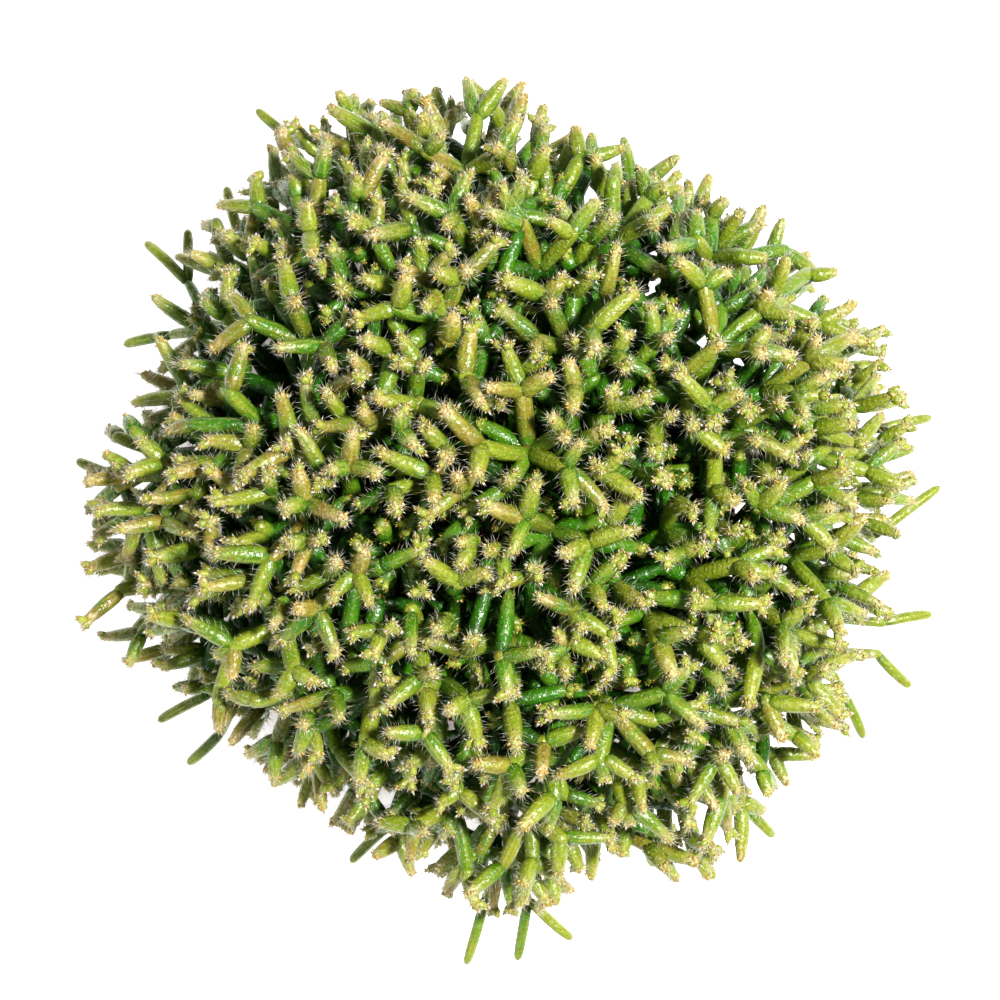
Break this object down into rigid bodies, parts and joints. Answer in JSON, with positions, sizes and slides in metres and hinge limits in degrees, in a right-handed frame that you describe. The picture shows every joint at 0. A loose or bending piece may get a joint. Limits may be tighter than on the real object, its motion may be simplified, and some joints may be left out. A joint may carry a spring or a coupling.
{
  "type": "potted mistletoe cactus",
  "caption": "Potted mistletoe cactus: a dome of short cylindrical jointed stems over a plain round plastic grower's pot filled with mix.",
  "frame": {"origin": "middle of the pot's flat underside", "axes": "+Z up out of the pot through the crown, +X and +Y across the rim; the crown is seen from +Z with +X to the right and +Y up"},
  "size_m": [0.202, 0.205, 0.1656],
  "materials": {
    "pot": "satin moulded terracotta-coloured plastic",
    "soil": "loose dark potting mix with pale perlite",
    "stem": "waxy green skin, tan-pink at young tips, with pale bristles"
  },
  "bodies": {
    "root": {"pot": "pot", "soil": "soil", "spray_01": "stem", "spray_02": "stem", "spray_03": "stem", "spray_04": "stem", "spray_05": "stem", "spray_06": "stem", "spray_07": "stem", "spray_08": "stem", "spray_09": "stem", "spray_10": "stem", "spray_11": "stem", "spray_12": "stem", "spray_13": "stem", "spray_14": "stem", "spray_15": "stem", "spray_16": "stem", "spray_17": "stem", "spray_18": "stem", "spray_19": "stem", "spray_20": "stem", "spray_21": "stem", "spray_22": "stem", "spray_23": "stem", "spray_24": "stem", "spray_25": "stem", "spray_26": "stem", "spray_27": "stem", "spray_28": "stem", "spray_29": "stem", "spray_30": "stem", "spray_31": "stem", "spray_32": "stem"}
  },
  "joints": []
}
